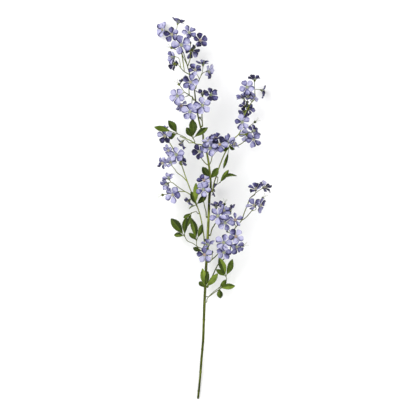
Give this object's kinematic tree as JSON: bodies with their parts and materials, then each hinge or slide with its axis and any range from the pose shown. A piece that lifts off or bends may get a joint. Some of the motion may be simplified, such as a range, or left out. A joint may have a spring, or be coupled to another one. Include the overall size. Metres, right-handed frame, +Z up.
{
  "type": "deutzia flower sprig",
  "caption": "Long cut flowering sprig lying down: green branching stem, three-leaflet leaves and clusters of small five-petalled lilac-blue flowers.",
  "frame": {"origin": "the middle of the underside of the box round the whole sprig, on the surface that it lies on", "axes": "+Y along the sprig from the cut end to the top flowers, +X to the right of the picture, +Z up from the surface, towards the camera"},
  "size_m": [0.2332, 0.766, 0.0871],
  "materials": {
    "stem": "satin green bark",
    "leaf": "satin",
    "petal_pale": "matt",
    "petal_violet": "matt",
    "petal_dark": "matt",
    "flower_centre": "matt"
  },
  "bodies": {
    "root": {"flower_centre_back": "petal_dark", "flower_centre_left": "petal_dark", "flower_left_back": "petal_dark", "flower_left_edge": "petal_dark", "flower_low_front": "petal_pale", "flower_low_side": "petal_violet", "flower_right_high_front": "petal_pale", "flowers_right_high_low": "petal_violet", "flower_right_high_outer": "petal_dark", "flower_right_high_pale": "petal_pale", "flower_right_high_tip": "petal_dark", "flower_right_high_under": "petal_pale", "flower_top_outer_left": "petal_pale", "flower_top_tip": "petal_dark", "flower_top_under": "petal_dark", "flower_upper_middle": "petal_dark", "flower_upper_outer_right": "petal_pale", "flower_upper_tip": "petal_dark", "flowers_centre": "petal_violet", "flowers_crown": "petal_violet", "flowers_far_right_low": "petal_pale", "flowers_far_right_top": "petal_dark", "flowers_left_lower": "petal_violet", "flowers_left_middle": "petal_pale", "flowers_left_outer": "petal_violet", "flowers_left_upper": "petal_violet", "flowers_right_high_back": "petal_dark", "flowers_right_high_side": "petal_violet", "flowers_right_low": "petal_pale", "flowers_right_middle": "petal_dark", "flowers_second_front": "petal_pale", "flowers_second_left": "petal_pale", "flowers_second_right": "petal_dark", "flowers_second_top": "petal_violet", "flowers_top_left": "petal_violet", "flowers_top_low_left": "petal_violet", "flowers_top_right": "petal_violet", "leaf_left_centre": "leaf", "leaf_left_drooping": "leaf", "leaf_left_high": "leaf", "leaf_left_inner": "leaf", "leaf_left_low": "leaf", "leaf_left_outer": "leaf", "leaf_right_high": "leaf", "leaf_right_low_lower": "leaf", "leaf_right_low_upper": "leaf", "leaf_stem_fork": "leaf", "leaf_stem_whorl": "leaf", "main_stem": "stem", "twig_centre": "stem", "twig_crown": "stem", "twig_left_high": "stem", "twig_left_long": "stem", "twig_low_middle": "stem", "twig_right_high": "stem", "twig_right_low": "stem", "twig_right_middle": "stem", "twig_upper_left": "stem", "twig_upper_middle": "stem", "twig_upper_right": "stem"}
  },
  "joints": []
}
